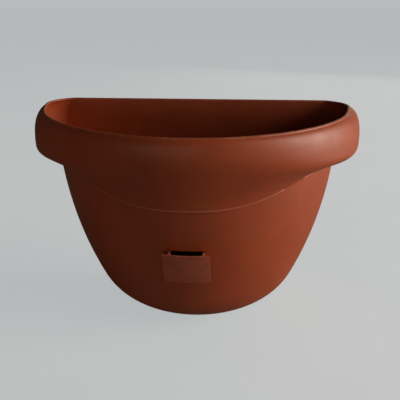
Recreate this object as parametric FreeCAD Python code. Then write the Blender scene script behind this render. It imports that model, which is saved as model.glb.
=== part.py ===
import FreeCAD, Part
import math
import os

# Half-round wall planter with a water reservoir, moulded in polypropylene.
# Millimetres, Z up. The back face lies in the plane Y = 0, the front looks
# towards -Y, and Z = 0 is the line through the two wall screw holes.
# Depths are counted downwards from the lip.

os.makedirs("parts", exist_ok=True)
Vec = FreeCAD.Vector

# ---------------------------------------------------------------- pot sizes
lip_height = 60.0        # lip above the line of the screw holes
lip_radius = 166.0       # outside radius of the half-round lip
lip_round = 1.3          # rounding of both lip edges
lip_draw = 2.5           # how far the rim draws the lip in at the corners
lip_draw_bearing = 12.0  # and from where that fades out, degrees
lip_draw_fade = 22.0
wall = 3.0               # one wall thickness all over
collar_corner = 28.0     # rounding of the collar's upright back corners
collar_edge_angle = 14.0  # slant at which that rounding meets the wall
bowl_corner = 18.0       # rounding of the bowl's back corners

# bowl flank: a long arc, then a shorter arc that runs into the flat base
flank_start_depth = 50.0
flank_inset = 14.0       # the flank starts this far inside the lip
flank_start_lean = 3.25  # degrees off the vertical
flank_arc = 428.0
turn_lean = 22.8         # lean where the short arc takes over
turn_arc = 60.3
section_pitch = 12.0     # distance between the sections of a lofted face
profile_points = 18      # points along each section of the collar

# collar: swells below the lip at the sides and runs flat into the apron
side_swell = 9.6         # swell past the lip
side_swell_depth = 35.5
front_swell = 4.2
front_swell_depth = 15.0
swell_ends_bearing = 20.0  # the side swell fades out from this bearing
swell_fade = 58.0
apron_depth = 70.0       # lower edge of the apron at the front
collar_side_depth = 48.0  # lower edge of the collar at the sides
apron_half_width = 122.0
apron_shape = 1.6        # above 1 the S-shaped edge stays low for longer
apron_step = 1.6         # how far the edge stands off the bowl
side_tuck_angle = 70.0   # lean of the underside, degrees off the vertical
front_tuck_angle = 9.0
side_tuck_reach = 11.0   # how far the edge keeps that lean
front_tuck_reach = 26.0
side_low_pull = 0.72     # how soon the face bends in below the swell
front_low_pull = 0.30
crest_pull = 0.55        # shape of the face between swell and lip
lip_pull = 0.10
lip_pull_out = 0.75
inside_front_rise = 6.0  # the hollow ends this far above the apron's edge
inside_end_inset = 0.8   # and this far inside the bowl's face
inside_tuck = 0.85       # its tuck is shorter than the outer one
collar_root = 6.0        # how far the collar's solid runs into the bowl
hollow_root = 16.0       # and how far its hollow does
back_bar_height = 12.0   # the flat back's top, before it is hollowed out
back_bar_depth = 10.0
back_bar_end = 10.0      # its ends stop this far short of the corners

# fastening and inside ledges
screw_spacing = 160.0
screw_hole_radius = 3.25
ledge_depth = 110.0      # the soil grid rests here
ledge_reach = 7.0
ledge_drop = 22.0
ledge_nose = 5.0         # height of the ledge's front edge
ledge_thickness = 3.0
ledge_root = 1.3         # how far a ledge runs into the wall it stands on
ledge_foot = 0.3
ledge_bearings = (28.0, 62.0, 118.0, 152.0)
back_ledge_x = 62.0

# water filler: window in the bowl, and the scoop that clips into it
window_width = 35.0
window_height = 36.2
window_drop = 3.2        # top of the window below the grid's ledges
scoop_clearance = 0.3
scoop_side_lap = 4.8     # the face laps over the bowl beside the window
scoop_bottom_lap = 3.2
scoop_top_gap = 0.8      # top of the face below the top of the window
scoop_top_stand = 9.0    # how far the face stands off the bowl at its top
scoop_bottom_stand = 2.3
scoop_face_arc = 120.0   # the face is bent like the bowl
scoop_face = 1.8         # thickness of the face and of the sloping floor
scoop_cheek = 2.0
scoop_cheek_drop = 0.6   # top of the cheeks below the top of the face
scoop_cheek_slant = (6.0, 9.0)  # cut off their inner top corners, Y and Z
scoop_floor_rise = 3.0   # front of the sloping floor above the sill
scoop_reach_in = 9.0     # how far the cheeks run in past the bowl's wall
scoop_hook = 1.3
scoop_hook_length = 3.2
scoop_hook_drop = 12.8   # top of the snap hooks below the window's top
scoop_hook_height = 10.0
scoop_stop = 1.6         # ribs outside the window that the hooks pull on
scoop_stop_reach = 1.9
scoop_stop_drop = 6.8
scoop_stop_height = 22.0
scoop_blend = 0.5        # how far its small parts run into each other

# soil grid
grid_gap = 1.5
grid_plate = 2.4
grid_rim_height = 8.0
grid_rim = 2.0
grid_hole_radius = 2.2
grid_hole_pitch = 15.0
grid_hole_margin = 8.0   # rim to the centre of the nearest hole
grid_rib = 2.2
grid_rib_height = 5.0
grid_rib_gap = 3.6       # rib's middle to the cup's flange
grid_tab_width = 26.0
grid_tab_height = 18.0
grid_tab_bar = 3.4
grid_blend = 0.4         # how far ribs and tab run into the plate

# wicking cups
cup_x = 54.0
cup_y = 54.0
cup_top_radius = 21.0
cup_bottom_radius = 13.5
cup_wall = 1.6
cup_flange = 5.0
cup_flange_thickness = 2.0
cup_fit = 0.6            # gap all round in the grid
cup_floor_gap = 22.0     # cup's bottom above the bowl's floor
cup_slots = 6
cup_slot_width = 3.2
cup_slot_drop = 18.0     # top of the slots below the grid's ledges
cup_slot_rise = 8.0      # foot of the slots above the cup's bottom
cup_drains = 4
cup_drain_radius = 1.8
cup_drain_ring = 7.0

# worked out from the sizes above
flank_start_radius = lip_radius - flank_inset
collar_mean_depth = (apron_depth + collar_side_depth) / 2 + 1.0
window_top_depth = ledge_depth + window_drop
window_bottom_depth = window_top_depth + window_height
scoop_width = window_width + 2 * scoop_side_lap
scoop_top_depth = window_top_depth + scoop_top_gap
scoop_bottom_depth = window_bottom_depth + scoop_bottom_lap
grid_rib_x = cup_x - cup_top_radius - cup_flange - grid_rib_gap


def mix(a, b, t):
    return a + (b - a) * t


def height(depth):
    """Z of a depth below the lip."""
    return lip_height - depth


# ------------------------------------------------------------- bowl profile
def flank_points():
    """Centre depth and radius of the two arcs that shape the bowl."""
    lean_a = math.radians(flank_start_lean)
    lean_b = math.radians(turn_lean)
    long_depth = flank_start_depth - flank_arc * math.sin(lean_a)
    long_radius = flank_start_radius - flank_arc * math.cos(lean_a)
    join_depth = long_depth + flank_arc * math.sin(lean_b)
    join_radius = long_radius + flank_arc * math.cos(lean_b)
    short_depth = join_depth - turn_arc * math.sin(lean_b)
    short_radius = join_radius - turn_arc * math.cos(lean_b)
    return long_depth, long_radius, join_depth, short_depth, short_radius


LONG_D, LONG_R, JOIN_D, SHORT_D, SHORT_R = flank_points()
bowl_depth = SHORT_D + turn_arc


def bowl_radius(depth, inset=0.0):
    """Radius of the bowl at a depth, measured inset inside the outer face."""
    arc, centre_d, centre_r = flank_arc, LONG_D, LONG_R
    reach = (depth - SHORT_D) / (turn_arc - inset)
    if depth > SHORT_D and reach > math.sin(math.radians(turn_lean)):
        arc, centre_d, centre_r = turn_arc, SHORT_D, SHORT_R
    if depth < flank_start_depth:
        lean = math.radians(flank_start_lean)
        rise = (flank_start_depth - depth) * math.tan(lean)
        return flank_start_radius + rise - inset / math.cos(lean)
    arc = arc - inset
    sine = min(1.0, (depth - centre_d) / arc)
    return centre_r + arc * math.sqrt(1.0 - sine * sine)


# ---------------------------------------------------------- half-round plan
def plan_wire(radius, corner, inset, z):
    """Closed half-round outline with rounded back corners, set in by inset.
    radius and corner belong to the outline before it is set in."""
    cx = math.sqrt((radius - corner) ** 2 - corner ** 2)
    big, small = radius - inset, corner - inset
    spread = math.atan2(corner, cx)
    touch_x, touch_y = big * math.cos(spread), -big * math.sin(spread)
    mid = (math.pi / 2 + spread) / 2
    mx = cx + small * math.sin(mid)
    my = -corner + small * math.cos(mid)
    a, b = Vec(-cx, -inset, z), Vec(cx, -inset, z)
    right = Part.Arc(b, Vec(mx, my, z), Vec(touch_x, touch_y, z))
    front = Part.Arc(Vec(touch_x, touch_y, z), Vec(0, -big, z),
                     Vec(-touch_x, touch_y, z))
    left = Part.Arc(Vec(-touch_x, touch_y, z), Vec(-mx, my, z), a)
    return Part.Wire([Part.makeLine(a, b), right.toShape(),
                      front.toShape(), left.toShape()])


def collar_place(radius, step, inset):
    """Point on the collar's plan, set in by inset. Steps 0..1 go round the
    left back corner, 1..2 round the front, 2..3 round the right corner. The
    corner arcs run on a little behind the wall plane and are cut off there,
    so that the flat back ends in a crisp upright edge."""
    if step > 1.5:
        x, y = collar_place(radius, 3.0 - step, inset)
        return -x, y
    depth_y = collar_corner * math.cos(math.radians(collar_edge_angle))
    cx = math.sqrt((radius - collar_corner) ** 2 - depth_y ** 2)
    spread = math.atan2(depth_y, cx)
    if step <= 1.0:
        turn = step * (math.pi / 2 + spread)
        r = collar_corner - inset
        return -cx - r * math.sin(turn), -depth_y + r * math.cos(turn)
    turn = spread + (step - 1.0) * (math.pi - 2 * spread)
    r = radius - inset
    return -r * math.cos(turn), -r * math.sin(turn)


def half_round(radius, corner, inset, z, thickness):
    """Flat half-round plate from z upwards."""
    face = Part.Face(plan_wire(radius, corner, inset, z))
    return face.extrude(Vec(0, 0, thickness))


def flat_backed(solid, y):
    """The same solid, with its back in the plane Y = y as a plane face."""
    faces = []
    for face in solid.Faces:
        box = face.BoundBox
        if abs(box.YMin - y) < 0.001 and abs(box.YMax - y) < 0.001:
            plane = Part.Plane(Vec(0, y, 0), Vec(0, 1, 0))
            face = Part.Face(plane, face.OuterWire)
        faces.append(face)
    return Part.makeSolid(Part.makeShell(faces))


def behind(y):
    """Everything behind the plane Y = y, for cutting off."""
    size = 3.0 * lip_radius
    return Part.makeBox(size, 40.0, size, Vec(-size / 2, y, -size / 2))


# --------------------------------------------------------------------- bowl
def bowl_solid(inset, top_depth):
    """Solid half bowl, set in by inset from the outer face. The sections
    stand about one section_pitch apart along the profile."""
    lean_a, lean_b = math.radians(flank_start_lean), math.radians(turn_lean)
    depths = []
    count = round((flank_start_depth - top_depth) / section_pitch)
    for i in range(count):
        depths.append(mix(top_depth, flank_start_depth, i / count))
    count = round(flank_arc * (lean_b - lean_a) / section_pitch)
    for i in range(count):
        a = mix(lean_a, lean_b, i / count)
        depths.append(LONG_D + (flank_arc - inset) * math.sin(a))
    count = round(turn_arc * (math.pi / 2 - lean_b) / section_pitch)
    for i in range(count + 1):
        a = mix(lean_b, math.pi / 2, i / count)
        depths.append(SHORT_D + (turn_arc - inset) * math.sin(a))
    wires = []
    for d in depths:
        r = bowl_radius(d, inset) + inset
        wires.append(plan_wire(r, bowl_corner, inset, height(d)))
    return flat_backed(Part.makeLoft(wires, True, False), -inset)


# ------------------------------------------------------------------- collar
def smooth(t):
    t = max(0.0, min(1.0, t))
    return t * t * (3.0 - 2.0 * t)


def apron_edge(step):
    """Depth of the collar's lower edge at a place on the plan: an S-curve
    from the shallow sides down to the deep front."""
    if step < 1.0 or step > 2.0:
        return collar_side_depth
    x, y = collar_place(bowl_radius(collar_mean_depth), step, 0.0)
    t = min(1.0, abs(x) / apron_half_width)
    return mix(apron_depth, collar_side_depth, smooth(t ** apron_shape))


def bearing_of(step):
    x, y = collar_place(lip_radius, step, 0.0)
    return math.degrees(math.atan2(-y, abs(x)))


def frontness(step):
    """0 where the collar swells at the sides, 1 at the plain front."""
    return smooth((bearing_of(step) - swell_ends_bearing) / swell_fade)


def lip_place(step):
    """Outside radius of the lip, which the rim draws in at the corners."""
    fade = smooth((bearing_of(step) - lip_draw_bearing) / lip_draw_fade)
    return lip_radius - lip_draw * (1.0 - fade)


def bezier(points):
    """Close-set points along a cubic curve given by four control points."""
    out = []
    for i in range(41):
        t = i / 40.0
        k = ((1 - t) ** 3, 3 * t * (1 - t) ** 2, 3 * t * t * (1 - t), t ** 3)
        out.append((sum(k[j] * points[j][0] for j in range(4)),
                    sum(k[j] * points[j][1] for j in range(4))))
    return out


def even_points(line, count):
    """The same line as count + 1 points at even distances."""
    run = [0.0]
    for a, b in zip(line, line[1:]):
        run.append(run[-1] + math.hypot(b[0] - a[0], b[1] - a[1]))
    out, k = [], 0
    for i in range(count + 1):
        want = run[-1] * i / count
        while k < len(run) - 2 and run[k + 1] < want:
            k += 1
        t = (want - run[k]) / (run[k + 1] - run[k])
        out.append((mix(line[k][0], line[k + 1][0], t),
                    mix(line[k][1], line[k + 1][1], t)))
    return out


def collar_profile(step, inside):
    """Radius and depth pairs from the collar's lower edge up to the lip,
    of the outer face, or of the inner face before it is set in."""
    w = frontness(step)
    lip = lip_place(step)
    crest = lip_radius + mix(side_swell, front_swell, w)
    crest_d = mix(side_swell_depth, front_swell_depth, w)
    tuck = math.radians(mix(side_tuck_angle, front_tuck_angle, w))
    reach = mix(side_tuck_reach, front_tuck_reach, w)
    end_d = apron_edge(step)
    end_r = bowl_radius(end_d) + apron_step
    if inside:
        end_d -= mix(wall, inside_front_rise, w)
        end_r = bowl_radius(end_d) - inside_end_inset
        crest_d -= mix(wall / 2, 0.0, w)
        reach *= inside_tuck
    drop = mix(side_low_pull, front_low_pull, w) * (end_d - crest_d)
    low = bezier([(end_r, end_d),
                  (end_r + reach * math.sin(tuck),
                   end_d - reach * math.cos(tuck)),
                  (crest, crest_d + drop), (crest, crest_d)])
    high = bezier([(crest, crest_d), (crest, crest_pull * crest_d),
                   (mix(lip, crest, lip_pull_out), mix(lip_round, crest_d,
                                                       lip_pull)),
                   (lip, lip_round)])
    return even_points(low + high[1:], profile_points)


def collar_steps():
    """Places of the collar's sections, about one section_pitch apart."""
    corner_turn = math.radians(90.0 + collar_edge_angle)
    corner = round(collar_corner * corner_turn / section_pitch)
    front = round(lip_radius * math.radians(156.0) / section_pitch)
    steps = [i / corner for i in range(corner)]
    steps += [1.0 + i / front for i in range(front + 1)]
    return steps + [2.0 + i / corner for i in range(1, corner + 1)]


def collar_section(step, inside, core):
    """Closed section of the collar at one place on the plan. Its face and
    the rounded lip come first, then straight lines back to the core."""
    inset, lift, out = (wall, 2.0, 1.0) if inside else (0.0, 0.0, -1.0)
    slope = 1.0 - math.sqrt(0.5)
    lip = lip_place(step)
    line = collar_profile(step, inside)
    line += [(lip + out * lip_round * slope, lip_round * slope),
             (lip + out * lip_round, 0.0)]
    if inside:
        line.append((lip + lip_round, -lift))
    line += [(core, -lift), (core, line[0][1])]
    pts = []
    for radius, depth in line:
        x, y = collar_place(radius, step, inset)
        pts.append(Vec(x, y, height(depth)))
    face = pts[:profile_points + 1]
    bend, top = pts[profile_points + 1:profile_points + 3]
    curve = Part.BSplineCurve()
    curve.interpolate(Points=face,
                      Parameters=[float(i) for i in range(len(face))])
    edges = [curve.toShape(), Part.Arc(face[-1], bend, top).toShape()]
    ends = pts[profile_points + 2:] + pts[:1]
    for a, b in zip(ends, ends[1:]):
        edges.append(Part.makeLine(a, b))
    return Part.Wire(edges)


def collar_solid(inside, core):
    """The collar as a band of sections round the plan, closed off inside
    the bowl at the radius core. With inside set it is the band that hollows
    the collar out; it runs on above the lip."""
    wires = [collar_section(s, inside, core) for s in collar_steps()]
    band = Part.makeLoft(wires, True, False)
    return band.cut(behind(-wall if inside else 0.0))


# ---------------------------------------------------------------- pot shell
def ledge(bearing):
    """Gusset on the bowl's inner wall that carries the soil grid."""
    top_r = bowl_radius(ledge_depth, wall)
    low = ledge_depth + ledge_drop
    low_r = bowl_radius(low, wall)
    nose = ledge_depth + ledge_nose
    pts = [Vec(top_r - ledge_reach, 0, height(ledge_depth)),
           Vec(top_r + ledge_root, 0, height(ledge_depth)),
           Vec(low_r + ledge_root, 0, height(low)),
           Vec(low_r - ledge_foot, 0, height(low)),
           Vec(top_r - ledge_reach, 0, height(nose))]
    face = Part.Face(Part.makePolygon(pts + [pts[0]]))
    plate = face.extrude(Vec(0, ledge_thickness, 0))
    plate.translate(Vec(0, -ledge_thickness / 2, 0))
    plate.rotate(Vec(0, 0, 0), Vec(0, 0, 1), 180.0 + bearing)
    return plate


def back_ledge(x):
    """The same gusset on the flat back wall."""
    low = ledge_depth + ledge_drop
    nose = ledge_depth + ledge_nose
    pts = [Vec(x, -wall + ledge_root, height(ledge_depth)),
           Vec(x, -wall - ledge_reach, height(ledge_depth)),
           Vec(x, -wall - ledge_reach, height(nose)),
           Vec(x, -wall - ledge_foot, height(low)),
           Vec(x, -wall + ledge_root, height(low))]
    face = Part.Face(Part.makePolygon(pts + [pts[0]]))
    plate = face.extrude(Vec(ledge_thickness, 0, 0))
    plate.translate(Vec(-ledge_thickness / 2, 0, 0))
    return plate


def screw_hole(x):
    return Part.makeCylinder(screw_hole_radius, wall + 6.0,
                             Vec(x, 3.0, 0), Vec(0, -1, 0))


def back_lip_rounding():
    """What is cut off to round the inner edge of the lip at the back."""
    reach = lip_radius - collar_corner
    low = height(lip_round)
    block = Part.makeBox(2 * reach, lip_round + 1.0, lip_round + 1.0,
                         Vec(-reach, -wall - 1.0, low))
    bar = Part.makeCylinder(lip_round, 2 * reach,
                            Vec(-reach, -wall + lip_round, low), Vec(1, 0, 0))
    return block.cut(bar)


def pot_shell():
    neck = bowl_radius(collar_mean_depth)
    shell = bowl_solid(0.0, 8.0)
    shell = shell.fuse(collar_solid(False, neck - collar_root))
    half = lip_radius - collar_corner - back_bar_end
    bar = Part.makeBox(2 * half, back_bar_depth, back_bar_height,
                       Vec(-half, -back_bar_depth, height(back_bar_height)))
    shell = shell.fuse(bar)
    shell = shell.cut(collar_solid(True, neck - hollow_root))
    shell = shell.cut(bowl_solid(wall, -2.0))
    shell = shell.cut(back_lip_rounding())
    ledges = [ledge(b) for b in ledge_bearings]
    ledges += [back_ledge(-back_ledge_x), back_ledge(back_ledge_x)]
    shell = shell.fuse(ledges)
    window = Part.makeBox(window_width, 100.0,
                          window_bottom_depth - window_top_depth,
                          Vec(-window_width / 2, -200.0,
                              height(window_bottom_depth)))
    holes = [screw_hole(-screw_spacing / 2), screw_hole(screw_spacing / 2)]
    return shell.cut(holes + [window]).removeSplitter()


# ------------------------------------------------------------- filler scoop
def bent_strip(front_y, z):
    """Closed outline of the scoop's bent face at one height."""
    half = scoop_width / 2
    lines = []
    for r in (scoop_face_arc, scoop_face_arc - scoop_face):
        side = front_y + scoop_face_arc - math.sqrt(r * r - half * half)
        top = front_y + scoop_face_arc - r
        lines.append((Vec(-half, side, z), Vec(0, top, z), Vec(half, side, z)))
    (a, b, c), (d, e, f) = lines
    return Part.Wire([Part.Arc(a, b, c).toShape(), Part.makeLine(c, f),
                      Part.Arc(f, e, d).toShape(), Part.makeLine(d, a)])


def side_prism(points, x_from, x_to):
    """Plate with an outline given as Y and depth, between two X planes."""
    pts = [Vec(x_from, y, height(d)) for y, d in points]
    face = Part.Face(Part.makePolygon(pts + [pts[0]]))
    return face.extrude(Vec(x_to - x_from, 0, 0))


def leaning_rib(plan, depth_a, depth_b, inset, gap):
    """Rib that follows the lean of the bowl's front wall. plan holds X and
    the distance from the wall's face, towards the inside of the pot."""
    ends = []
    for d in (depth_b, depth_a):
        r = bowl_radius(d, inset)
        ends.append(-math.sqrt(r * r - (window_width / 2) ** 2) + gap)
    pts = [Vec(x, ends[0] + y, height(depth_b)) for x, y in plan]
    face = Part.Face(Part.makePolygon(pts + [pts[0]]))
    return face.extrude(Vec(0, ends[1] - ends[0], depth_b - depth_a))


def filler_scoop():
    top_y = -bowl_radius(scoop_top_depth) - scoop_top_stand
    low_y = -bowl_radius(scoop_bottom_depth) - scoop_bottom_stand
    lean = (low_y - top_y) / (scoop_bottom_depth - scoop_top_depth)
    face = Part.makeLoft([bent_strip(top_y, height(scoop_top_depth)),
                          bent_strip(low_y, height(scoop_bottom_depth))],
                         True, True)
    outer_x = window_width / 2 - scoop_clearance
    inner_x = outer_x - scoop_cheek
    root_x = outer_x - scoop_blend
    sag = outer_x ** 2 / (2.0 * scoop_face_arc)
    root_y = top_y + scoop_face / 2 + sag + 0.2
    end_y = -bowl_radius(window_bottom_depth, wall) + scoop_reach_in
    low = window_bottom_depth - scoop_clearance
    top = scoop_top_depth + scoop_cheek_drop
    slant_y, slant_z = scoop_cheek_slant
    cheek = [(root_y + lean * scoop_cheek_drop, top),
             (root_y + lean * (low - scoop_top_depth), low),
             (end_y, low), (end_y, top + slant_z), (end_y - slant_y, top)]
    floor_d = window_bottom_depth - scoop_floor_rise
    floor_y = top_y + scoop_face / 2 + lean * (floor_d - scoop_top_depth)
    floor = [(floor_y, floor_d - scoop_face), (end_y, low - scoop_face),
             (end_y, low), (floor_y, floor_d)]
    solids = [side_prism(floor, -root_x, root_x)]
    hook_top = window_top_depth + scoop_hook_drop
    stop_top = window_top_depth + scoop_stop_drop
    for s in (-1, 1):
        solids.append(side_prism(cheek, s * inner_x, s * outer_x))
        hook = [(s * root_x, 0.0), (s * (outer_x + scoop_hook), 0.0),
                (s * root_x, scoop_hook_length)]
        solids.append(leaning_rib(hook, hook_top, hook_top + scoop_hook_height,
                                  wall, scoop_clearance))
        stop_x = s * (outer_x + scoop_stop_reach)
        stop = [(s * root_x, 0.0), (s * root_x, -scoop_stop),
                (stop_x, -scoop_stop), (stop_x, 0.0)]
        solids.append(leaning_rib(stop, stop_top, stop_top + scoop_stop_height,
                                  0.0, -scoop_clearance))
    return face.fuse(solids).removeSplitter()


# ---------------------------------------------------------------- soil grid
def grid_hole_places():
    """Drain holes on a square pitch, clear of cups, ribs, tab and rim."""
    limit = bowl_radius(ledge_depth, wall) - grid_gap - grid_rim
    limit -= grid_hole_margin
    clear = grid_hole_radius + 1.3
    cup_reach = cup_top_radius + cup_flange + clear
    tab_x = grid_tab_width / 2 + clear
    places = []
    rows = int(lip_radius / grid_hole_pitch) + 1
    for i in range(-rows, rows + 1):
        for j in range(1, rows + 1):
            x, y = i * grid_hole_pitch, -j * grid_hole_pitch
            cup = math.hypot(abs(x) - cup_x, y + cup_y)
            free = math.hypot(x, y) < limit and cup > cup_reach
            free = free and abs(abs(x) - grid_rib_x) > grid_rib / 2 + clear
            beside_tab = abs(x) < tab_x and abs(y + cup_y) < 2 * clear
            if free and not beside_tab:
                places.append((x, y))
    return places


def soil_grid():
    radius = bowl_radius(ledge_depth)
    inset = wall + grid_gap
    z = height(ledge_depth)
    grid = half_round(radius, bowl_corner, inset, z, grid_plate)
    rim = half_round(radius, bowl_corner, inset, z, grid_rim_height)
    rim = rim.cut(half_round(radius, bowl_corner, inset + grid_rim, z - 1.0,
                             grid_rim_height + 2.0))
    adds = [rim]
    top = z + grid_plate
    for s in (-1, 1):
        reach = math.sqrt((radius - inset) ** 2 - grid_rib_x ** 2)
        adds.append(Part.makeBox(grid_rib, reach - inset - 0.6,
                                 grid_rib_height,
                                 Vec(s * grid_rib_x - grid_rib / 2,
                                     -reach + 0.3, top - grid_blend)))
    tab = Part.makeBox(grid_tab_width, grid_tab_bar,
                       grid_tab_height + grid_blend,
                       Vec(-grid_tab_width / 2, -cup_y - grid_tab_bar / 2,
                           top - grid_blend))
    gap = Part.makeBox(grid_tab_width - 2 * grid_tab_bar, 3 * grid_tab_bar,
                       grid_tab_height - grid_tab_bar,
                       Vec(-grid_tab_width / 2 + grid_tab_bar,
                           -cup_y - 1.5 * grid_tab_bar, top))
    adds.append(tab.cut(gap))
    grid = grid.fuse(adds)
    cuts = [Part.makeCylinder(grid_hole_radius, grid_plate + 2.0,
                              Vec(x, y, z - 1.0)) for x, y in grid_hole_places()]
    for s in (-1, 1):
        cuts.append(Part.makeCylinder(cup_top_radius + cup_fit,
                                      grid_plate + 2.0,
                                      Vec(s * cup_x, -cup_y, z - 1.0)))
    return grid.cut(cuts).removeSplitter()


# ------------------------------------------------------------- wicking cups
def wick_cup(side):
    seat = ledge_depth - grid_plate
    cup_bottom_depth = bowl_depth - wall - cup_floor_gap
    tall = cup_bottom_depth - seat
    at = Vec(side * cup_x, -cup_y, height(cup_bottom_depth))
    taper = (cup_top_radius - cup_bottom_radius) / tall
    full = tall + cup_flange_thickness
    top_r = cup_bottom_radius + taper * full
    cup = Part.makeCone(cup_bottom_radius, top_r, full, at)
    flange = Part.makeCylinder(cup_top_radius + cup_flange,
                               cup_flange_thickness,
                               Vec(at.x, at.y, height(seat)))
    cup = cup.fuse(flange)
    inner = Part.makeCone(cup_bottom_radius - cup_wall,
                          top_r - cup_wall + taper, full,
                          at + Vec(0, 0, cup_wall))
    cuts = [inner]
    slot_foot = cup_bottom_depth - cup_slot_rise
    slot_tall = slot_foot - ledge_depth - cup_slot_drop
    for i in range(cup_slots):
        slot = Part.makeBox(cup_top_radius, cup_slot_width, slot_tall,
                            Vec(cup_bottom_radius / 2, -cup_slot_width / 2, 0))
        slot.rotate(Vec(0, 0, 0), Vec(0, 0, 1), 360.0 * (i + 0.5) / cup_slots)
        slot.translate(Vec(at.x, at.y, height(slot_foot)))
        cuts.append(slot)
    for i in range(cup_drains):
        a = math.radians(360.0 * i / cup_drains)
        place = Vec(cup_drain_ring * math.cos(a),
                    cup_drain_ring * math.sin(a), -1.0)
        cuts.append(Part.makeCylinder(cup_drain_radius, cup_wall + 2.0,
                                      at + place))
    return cup.cut(cuts).removeSplitter()


# -------------------------------------------------------------------- write
pieces = {
    "pot_shell": pot_shell(),
    "filler_scoop": filler_scoop(),
    "soil_grid": soil_grid(),
    "wick_cup_left": wick_cup(-1),
    "wick_cup_right": wick_cup(1),
}
for name, shape in pieces.items():
    solid = shape.Solids[0] if len(shape.Solids) == 1 else shape
    print(name, len(shape.Solids), shape.isValid(), round(shape.Volume))
    solid.exportStep("parts/" + name + ".step")
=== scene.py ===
import math

import bpy
from mathutils import Matrix, Vector


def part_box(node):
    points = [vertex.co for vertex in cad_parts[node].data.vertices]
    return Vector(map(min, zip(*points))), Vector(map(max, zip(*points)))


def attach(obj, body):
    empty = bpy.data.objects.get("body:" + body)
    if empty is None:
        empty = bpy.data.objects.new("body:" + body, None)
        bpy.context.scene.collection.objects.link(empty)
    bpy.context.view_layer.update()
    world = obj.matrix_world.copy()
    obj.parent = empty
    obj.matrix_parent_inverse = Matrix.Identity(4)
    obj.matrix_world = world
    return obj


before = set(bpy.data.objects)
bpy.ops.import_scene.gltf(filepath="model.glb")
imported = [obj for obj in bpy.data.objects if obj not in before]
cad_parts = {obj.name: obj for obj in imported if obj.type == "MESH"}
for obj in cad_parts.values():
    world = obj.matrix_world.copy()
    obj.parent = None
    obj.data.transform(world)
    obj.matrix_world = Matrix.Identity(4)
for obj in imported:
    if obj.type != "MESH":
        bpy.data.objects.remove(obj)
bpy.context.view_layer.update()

# ---------------------------------------------------------------- pot shell
# The half-round pot is one injection moulding in terracotta-coloured
# polypropylene. Bowl, swelling rim, apron, flat back and inner ledges are all
# one piece, and it hangs by two screws through its back.

mm = 0.001  # the scene is in metres
pot_foot, lip_top = (corner.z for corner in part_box("pot_shell"))
plastic_ior = 1.49  # polypropylene


def colour(code):
    """An sRGB hex colour as linear RGBA."""
    out = []
    for i in (0, 2, 4):
        v = int(code[i:i + 2], 16) / 255
        out.append(v / 12.92 if v <= 0.04045 else ((v + 0.055) / 1.055) ** 2.4)
    return (*out, 1.0)


def add(tree, kind, settings=None, **links):
    """Adds a node. Settings are its own properties and socket values, links
    are output sockets that go into its inputs."""
    node = tree.nodes.new(kind)
    for key, value in (settings or {}).items():
        if isinstance(key, int) or key in node.inputs:
            node.inputs[key].default_value = value
        else:
            setattr(node, key, value)
    for key, socket in links.items():
        name = int(key[1:]) if key[0] == "_" else key.replace("_", " ")
        tree.links.new(socket, node.inputs[name])
    return node


def start_material(name, ior):
    """A material with an empty tree, its shader and its output."""
    mat = bpy.data.materials.new(name)
    mat.use_nodes = True
    tree = mat.node_tree
    tree.nodes.clear()
    shader = add(tree, "ShaderNodeBsdfPrincipled", {"IOR": ior})
    out = add(tree, "ShaderNodeOutputMaterial")
    tree.links.new(shader.outputs["BSDF"], out.inputs["Surface"])
    return mat, tree, shader


def grey_band(tree, value, low, high):
    """0 below low, 1 above high, smooth between."""
    node = add(tree, "ShaderNodeMapRange",
               {"interpolation_type": "SMOOTHSTEP", "From Min": low,
                "From Max": high}, Value=value)
    return node.outputs["Result"]


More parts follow.
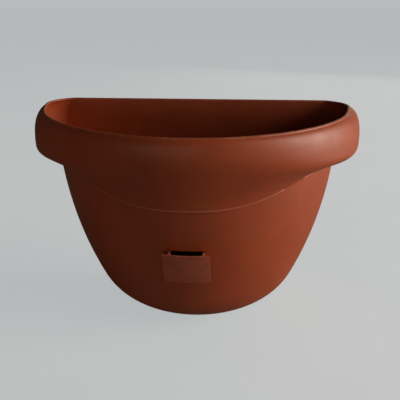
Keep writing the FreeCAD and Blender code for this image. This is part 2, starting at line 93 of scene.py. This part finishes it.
def moulded_terracotta(name, deep, light):
    """Injection-moulded polypropylene with iron-oxide pigment, between two
    tones. The tool's fine spark texture gives a satin face with a broad soft
    highlight; the melt's flow leaves faint cloudy swirls in the pigment. A
    painted highlight runs along the top of the lip."""
    # the second share and the two depths below set the painted highlight along the
    # lip
    most_fleck, most_lip_highlight, most_dust = 0.35, 0.5, 0.30  # shares of each colour
    lip_highlight_end, lip_highlight_full = 2.2 * mm, 0.3 * mm  # below the top of the lip
    mat, tree, shader = start_material(name, plastic_ior)
    place = add(tree, "ShaderNodeNewGeometry").outputs["Position"]
    flow = add(tree, "ShaderNodeTexNoise",
               {"Scale": 1 / (70 * mm), "Detail": 3.0, "Roughness": 0.55,
                "Distortion": 0.8}, Vector=place).outputs["Fac"]
    speck = add(tree, "ShaderNodeTexNoise",
                {"Scale": 1 / (1.4 * mm), "Detail": 2.0},
                Vector=place).outputs["Fac"]
    tone = add(tree, "ShaderNodeMix",
               {"data_type": "RGBA", 6: colour(deep), 7: colour(light)},
               _0=grey_band(tree, flow, 0.3, 0.7))
    fleck = add(tree, "ShaderNodeMix",
                {"data_type": "RGBA", 7: colour("8c3416")},
                _0=add(tree, "ShaderNodeMath",
                       {"operation": "MULTIPLY", 1: most_fleck},
                       _0=grey_band(tree, speck, 0.52, 0.72)).outputs[0],
                _6=tone.outputs[2])
    # painted highlight: a paler band, broken into patches, is painted along the top
    # of the lip where it catches the light
    height = add(tree, "ShaderNodeSeparateXYZ", Vector=place).outputs["Z"]
    lip_highlight_patches = add(tree, "ShaderNodeTexNoise",
                    {"Scale": 1 / (9 * mm), "Detail": 4.0, "Roughness": 0.7},
                    Vector=place).outputs["Fac"]
    lip_highlight_band = grey_band(tree, height, lip_top - lip_highlight_end, lip_top - lip_highlight_full)
    lip_highlight = add(tree, "ShaderNodeMath", {"operation": "MULTIPLY"}, _0=lip_highlight_band,
              _1=grey_band(tree, lip_highlight_patches, 0.42, 0.68)).outputs[0]
    lip_highlighted = add(tree, "ShaderNodeMix",
                 {"data_type": "RGBA", 7: colour("bd7350")},
                 _0=add(tree, "ShaderNodeMath",
                        {"operation": "MULTIPLY", 1: most_lip_highlight},
                        _0=lip_highlight).outputs[0],
                 _6=fleck.outputs[2])
    # dust lies on the faces that look up
    up = add(tree, "ShaderNodeSeparateXYZ",
             Vector=add(tree, "ShaderNodeNewGeometry").outputs["Normal"])
    dust_noise = add(tree, "ShaderNodeTexNoise",
                     {"Scale": 1 / (5 * mm), "Detail": 5.0, "Roughness": 0.65},
                     Vector=place).outputs["Fac"]
    dust = add(tree, "ShaderNodeMath", {"operation": "MULTIPLY"},
               _0=grey_band(tree, up.outputs["Z"], 0.55, 1.0),
               _1=grey_band(tree, dust_noise, 0.45, 0.8)).outputs[0]
    dusty = add(tree, "ShaderNodeMix",
                {"data_type": "RGBA", 7: colour("a58a76")},
                _0=add(tree, "ShaderNodeMath",
                       {"operation": "MULTIPLY", 1: most_dust},
                       _0=dust).outputs[0],
                _6=lip_highlighted.outputs[2])
    tree.links.new(dusty.outputs[2], shader.inputs["Base Color"])
    # handling wears the skin unevenly, so that its gloss varies
    wear = add(tree, "ShaderNodeTexNoise",
               {"Scale": 1 / (26 * mm), "Detail": 5.0, "Roughness": 0.62},
               Vector=place).outputs["Fac"]
    rough = add(tree, "ShaderNodeMapRange", {"To Min": 0.44, "To Max": 0.54},
                Value=grey_band(tree, wear, 0.3, 0.72)).outputs["Result"]
    tree.links.new(rough, shader.inputs["Roughness"])
    # the textured skin scatters a broad white veil on the side to the light
    shader.inputs["Coat Weight"].default_value = 0.5
    shader.inputs["Coat Roughness"].default_value = 0.75
    # the spark texture's grain is about 0.1 mm; drawn at 0.6 mm to show
    grain = add(tree, "ShaderNodeTexNoise",
                {"Scale": 1 / (0.6 * mm), "Detail": 2.0},
                Vector=place).outputs["Fac"]
    fine = add(tree, "ShaderNodeBump",
               {"Strength": 0.12, "Distance": 0.05 * mm}, Height=grain)
    # the face sinks a little where the melt shrank as it cooled
    sink = add(tree, "ShaderNodeTexNoise",
               {"Scale": 1 / (45 * mm), "Detail": 1.0},
               Vector=place).outputs["Fac"]
    bump = add(tree, "ShaderNodeBump",
               {"Strength": 0.35, "Distance": 0.5 * mm}, Height=sink,
               Normal=fine.outputs["Normal"])
    tree.links.new(bump.outputs["Normal"], shader.inputs["Normal"])
    return mat


def dress(node, mat):
    """Gives a carried-over CAD node its finish."""
    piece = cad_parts[node]
    piece.data.materials.clear()
    piece.data.materials.append(mat)
    return piece


dress("pot_shell", moulded_terracotta("moulded terracotta polypropylene",
                                      "9e3f13", "aa4818"))

# ----------------------------------------------------------------- apron bead
# The apron's lower edge is finished with a fine rounded bead. It is moulded
# with the pot, its colour is a painted highlight, paler than the pot's, and it
# fades out where the edge tucks in under the rim's sides.

apron_low, apron_side = 70 * mm, 48 * mm  # edge below the lip: front, sides
apron_half = 122 * mm  # from the middle to where the edge stops rising
apron_curve = 1.6  # above 1, the edge stays low for longer before it rises
apron_reach = 148.4 * mm  # the apron's edge from the pot's axis
bead_radius, bead_stand = 1.1 * mm, 0.7 * mm  # the tube, and its part proud
bead_rise = 0.5 * mm  # above the edge
bead_from, bead_fade = 22.0, 8.0  # degrees round from the side
bead_steps, bead_sides = 150, 10
ray_start = 0.4  # outside the pot, from its axis


def smooth(t):
    """0 to 1 as t goes from 0 to 1, level at both ends."""
    t = max(0.0, min(1.0, t))
    return t * t * (3 - 2 * t)


def face_radius(bearing, z):
    """Distance from the pot's axis to its outer face, by a ray from outside."""
    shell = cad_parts["pot_shell"]
    to_local = shell.matrix_world.inverted()
    out = Vector((math.cos(bearing), -math.sin(bearing), 0))
    start = to_local @ (out * ray_start + Vector((0, 0, z)))
    aim = to_local.to_3x3() @ -out
    found, spot, _, _ = shell.ray_cast(start, aim.normalized())
    if not found:
        raise RuntimeError("the bead's ray missed the pot")
    return (shell.matrix_world @ spot).to_2d().length


def apron_bead():
    """A tube along the apron's edge, thinning to nothing at both ends."""
    verts, faces = [], []
    for i in range(bead_steps + 1):
        degrees = bead_from + (180 - 2 * bead_from) * i / bead_steps
        bearing = math.radians(degrees)
        away = min(degrees, 180 - degrees) - bead_from
        size = smooth(away / bead_fade)
        share = min(1.0, apron_reach * abs(math.cos(bearing)) / apron_half)
        drop = apron_low + (apron_side - apron_low) * smooth(share ** apron_curve)
        z = lip_top - drop + bead_rise
        r = face_radius(bearing, z) + bead_stand * size - bead_radius
        for k in range(bead_sides):
            a = 2 * math.pi * k / bead_sides
            reach_out = r + bead_radius * size * math.cos(a)
            verts.append((reach_out * math.cos(bearing),
                          -reach_out * math.sin(bearing),
                          z + bead_radius * size * math.sin(a)))
    for i in range(bead_steps):
        for k in range(bead_sides):
            a, b = i * bead_sides + k, i * bead_sides + (k + 1) % bead_sides
            faces.append((a, b, b + bead_sides, a + bead_sides))
    mesh = bpy.data.meshes.new("apron_bead")
    mesh.from_pydata(verts, [], faces)
    mesh.polygons.foreach_set("use_smooth", [True] * len(faces))
    # tones paler than the pot's: a painted highlight along the bead
    mesh.materials.append(moulded_terracotta("terracotta edge with painted highlight",
                                             "aa5735", "b66141"))
    bead = bpy.data.objects.new("apron_bead", mesh)
    bpy.context.scene.collection.objects.link(bead)
    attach(bead, "pot")


apron_bead()

# ------------------------------------------------------------ filler scoop
# The scoop of the water filler is a separate moulding that snaps into a
# window low on the front. It is matt and a little greyer than the pot.


def matt_scoop_plastic():
    """The same polypropylene from a tool with a coarser texture, which
    scatters the light and makes the pigment look greyer and pinker."""
    mat, tree, shader = start_material("matt moulded polypropylene", plastic_ior)
    place = add(tree, "ShaderNodeNewGeometry").outputs["Position"]
    cloud = add(tree, "ShaderNodeTexNoise",
                {"Scale": 1 / (14 * mm), "Detail": 4.0, "Roughness": 0.6},
                Vector=place).outputs["Fac"]
    tone = add(tree, "ShaderNodeMix",
               {"data_type": "RGBA", 6: colour("ae5740"), 7: colour("ba6349")},
               _0=grey_band(tree, cloud, 0.3, 0.7))
    tree.links.new(tone.outputs[2], shader.inputs["Base Color"])
    rough = add(tree, "ShaderNodeMapRange", {"To Min": 0.5, "To Max": 0.62},
                Value=cloud).outputs["Result"]
    tree.links.new(rough, shader.inputs["Roughness"])
    # the coarser texture's grain is about 0.2 mm; drawn at 0.8 mm to show
    grain = add(tree, "ShaderNodeTexNoise",
                {"Scale": 1 / (0.8 * mm), "Detail": 2.0},
                Vector=place).outputs["Fac"]
    bump = add(tree, "ShaderNodeBump",
               {"Strength": 0.3, "Distance": 0.08 * mm}, Height=grain)
    tree.links.new(bump.outputs["Normal"], shader.inputs["Normal"])
    return mat


dress("filler_scoop", matt_scoop_plastic())

# ---------------------------------------------------------------- soil grid
# The soil grid is moulded in black-brown recycled polypropylene. It lies
# loose on the shell's ledges and lifts out by the tab in its middle.


def recycled_black_plastic():
    """Recycled polypropylene: dark, semi-matt, with grey flow streaks and
    pale specks of other plastics."""
    mat, tree, shader = start_material("recycled black polypropylene", plastic_ior)
    place = add(tree, "ShaderNodeNewGeometry").outputs["Position"]
    streak = add(tree, "ShaderNodeTexNoise",
                 {"Scale": 1 / (18 * mm), "Detail": 4.0, "Distortion": 1.5},
                 Vector=place).outputs["Fac"]
    tone = add(tree, "ShaderNodeMix",
               {"data_type": "RGBA", 6: colour("262220"), 7: colour("35302c")},
               _0=grey_band(tree, streak, 0.35, 0.7))
    speck = add(tree, "ShaderNodeTexVoronoi", {"Scale": 1 / (3.5 * mm)},
                Vector=place).outputs["Distance"]
    spot = grey_band(tree, speck, 0.12, 0.06)
    fleck = add(tree, "ShaderNodeMix",
                {"data_type": "RGBA", 7: colour("5c554e")}, _0=spot,
                _6=tone.outputs[2])
    tree.links.new(fleck.outputs[2], shader.inputs["Base Color"])
    rough = add(tree, "ShaderNodeMapRange", {"To Min": 0.42, "To Max": 0.6},
                Value=streak).outputs["Result"]
    tree.links.new(rough, shader.inputs["Roughness"])
    # the skin's grain is about 0.1 mm; drawn at 0.7 mm to show
    grain = add(tree, "ShaderNodeTexNoise",
                {"Scale": 1 / (0.7 * mm), "Detail": 2.0},
                Vector=place).outputs["Fac"]
    bump = add(tree, "ShaderNodeBump",
               {"Strength": 0.25, "Distance": 0.06 * mm}, Height=grain)
    tree.links.new(bump.outputs["Normal"], shader.inputs["Normal"])
    return mat


black_plastic = recycled_black_plastic()
dress("soil_grid", black_plastic)

# ------------------------------------------------------------- wicking cups
# The two cups come from the same dark material. They drop into the grid and
# hang by their flanges, with slots that let the water reach the soil.

for side in ("left", "right"):
    dress("wick_cup_" + side, black_plastic)

# -------------------------------------------------------------------- studio
# A plain pale floor under the pot, a large soft window light from the right
# and two weak fills. Floor and air are pale to the camera alone, so that the
# shaded side of the pot stays deep.

floor_mesh = bpy.data.meshes.new("floor")
wide = 40.0  # from the pot to the floor's edge, far enough to look endless
floor_mesh.from_pydata([(-wide, -wide, pot_foot), (wide, -wide, pot_foot),
                        (wide, wide, pot_foot), (-wide, wide, pot_foot)],
                       [], [(0, 1, 2, 3)])
floor = bpy.data.objects.new("floor", floor_mesh)
bpy.context.scene.collection.objects.link(floor)


floor_lift = 0.8  # brings the floor to the tone of the air behind it


def pale_floor():
    """Matt grey board. The camera sees it lifted to a pale grey, with the
    shadows kept."""
    mat, tree, shader = start_material("pale matt floor", 1.45)
    place = add(tree, "ShaderNodeNewGeometry").outputs["Position"]
    cloud = add(tree, "ShaderNodeTexNoise",
                {"Scale": 1 / (160 * mm), "Detail": 3.0}, Vector=place)
    tone = add(tree, "ShaderNodeMix",
               {"data_type": "RGBA", 6: colour("7a7d7e"), 7: colour("808384")},
               _0=grey_band(tree, cloud.outputs["Fac"], 0.35, 0.65))
    tree.links.new(tone.outputs[2], shader.inputs["Base Color"])
    shader.inputs["Roughness"].default_value = 0.9
    shader.inputs["Emission Color"].default_value = colour("c6cacb")
    seen = add(tree, "ShaderNodeLightPath").outputs["Is Camera Ray"]
    lift = add(tree, "ShaderNodeMath",
               {"operation": "MULTIPLY", 1: floor_lift}, _0=seen)
    tree.links.new(lift.outputs[0], shader.inputs["Emission Strength"])
    return mat


floor_mesh.materials.append(pale_floor())


def soft_light(name, place, aim, width, height, power, tint):
    """A rectangular soft light at place that looks at aim."""
    data = bpy.data.lights.new(name, "AREA")
    data.shape, data.size, data.size_y = "RECTANGLE", width, height
    data.energy, data.color = power, colour(tint)[:3]
    lamp = bpy.data.objects.new(name, data)
    lamp.location = place
    lamp.rotation_mode = "QUATERNION"
    lamp.rotation_quaternion = (Vector(aim) - Vector(place)).to_track_quat("-Z", "Y")
    bpy.context.scene.collection.objects.link(lamp)
    return lamp


soft_light("window", (2.3, -0.26, 0.55), (0, -0.08, 0), 1.3, 1.3, 58.0, "fff5e8")
soft_light("room", (-0.5, -1.9, 0.1), (0, -0.08, 0), 1.2, 0.5, 3.3, "ffe4cc")
soft_light("behind", (0.5, 1.8, 0.5), (0, 0, -0.05), 1.4, 1.0, 3.0, "fff3e2")

air_light = 0.055  # the dim light that reaches the pot from all round
world = bpy.data.worlds.new("studio")
bpy.context.scene.world = world
world.use_nodes = True
air = world.node_tree
air.nodes.clear()
fill = add(air, "ShaderNodeBackground",
           {"Color": colour("d8ccbc"), "Strength": air_light})
seen_air = add(air, "ShaderNodeBackground",
               {"Color": colour("b7bbbc"), "Strength": 1.0})
air_mix = add(air, "ShaderNodeMixShader",
              _0=add(air, "ShaderNodeLightPath").outputs["Is Camera Ray"],
              _1=fill.outputs[0], _2=seen_air.outputs[0])
add(air, "ShaderNodeOutputWorld", Surface=air_mix.outputs[0])

# -------------------------------------------------------------------- camera
# A little to the right of the pot's middle and above it, looking down at the
# open top.

camera_place = Vector((39.6, -519.2, 157.1)) * mm
turn_left, look_down, roll = (math.radians(a) for a in (4.06, 22.83, -0.14))
focal_share = 465.3 / 400  # focal length over the frame's width

ahead = Vector((-math.sin(turn_left) * math.cos(look_down),
                math.cos(turn_left) * math.cos(look_down),
                -math.sin(look_down)))
level = Vector((math.cos(turn_left), math.sin(turn_left), 0))
upright = level.cross(ahead)
right = level * math.cos(roll) + upright * math.sin(roll)
up = upright * math.cos(roll) - level * math.sin(roll)

cam_data = bpy.data.cameras.new("camera")
cam_data.sensor_width = 36.0
cam_data.lens = focal_share * cam_data.sensor_width
cam_data.clip_start, cam_data.clip_end = 0.02, 200.0
camera = bpy.data.objects.new("camera", cam_data)
bpy.context.scene.collection.objects.link(camera)
camera.matrix_world = Matrix((
    (right.x, up.x, -ahead.x, camera_place.x),
    (right.y, up.y, -ahead.y, camera_place.y),
    (right.z, up.z, -ahead.z, camera_place.z),
    (0, 0, 0, 1)))
bpy.context.scene.camera = camera
bpy.context.scene.view_settings.view_transform = "Standard"
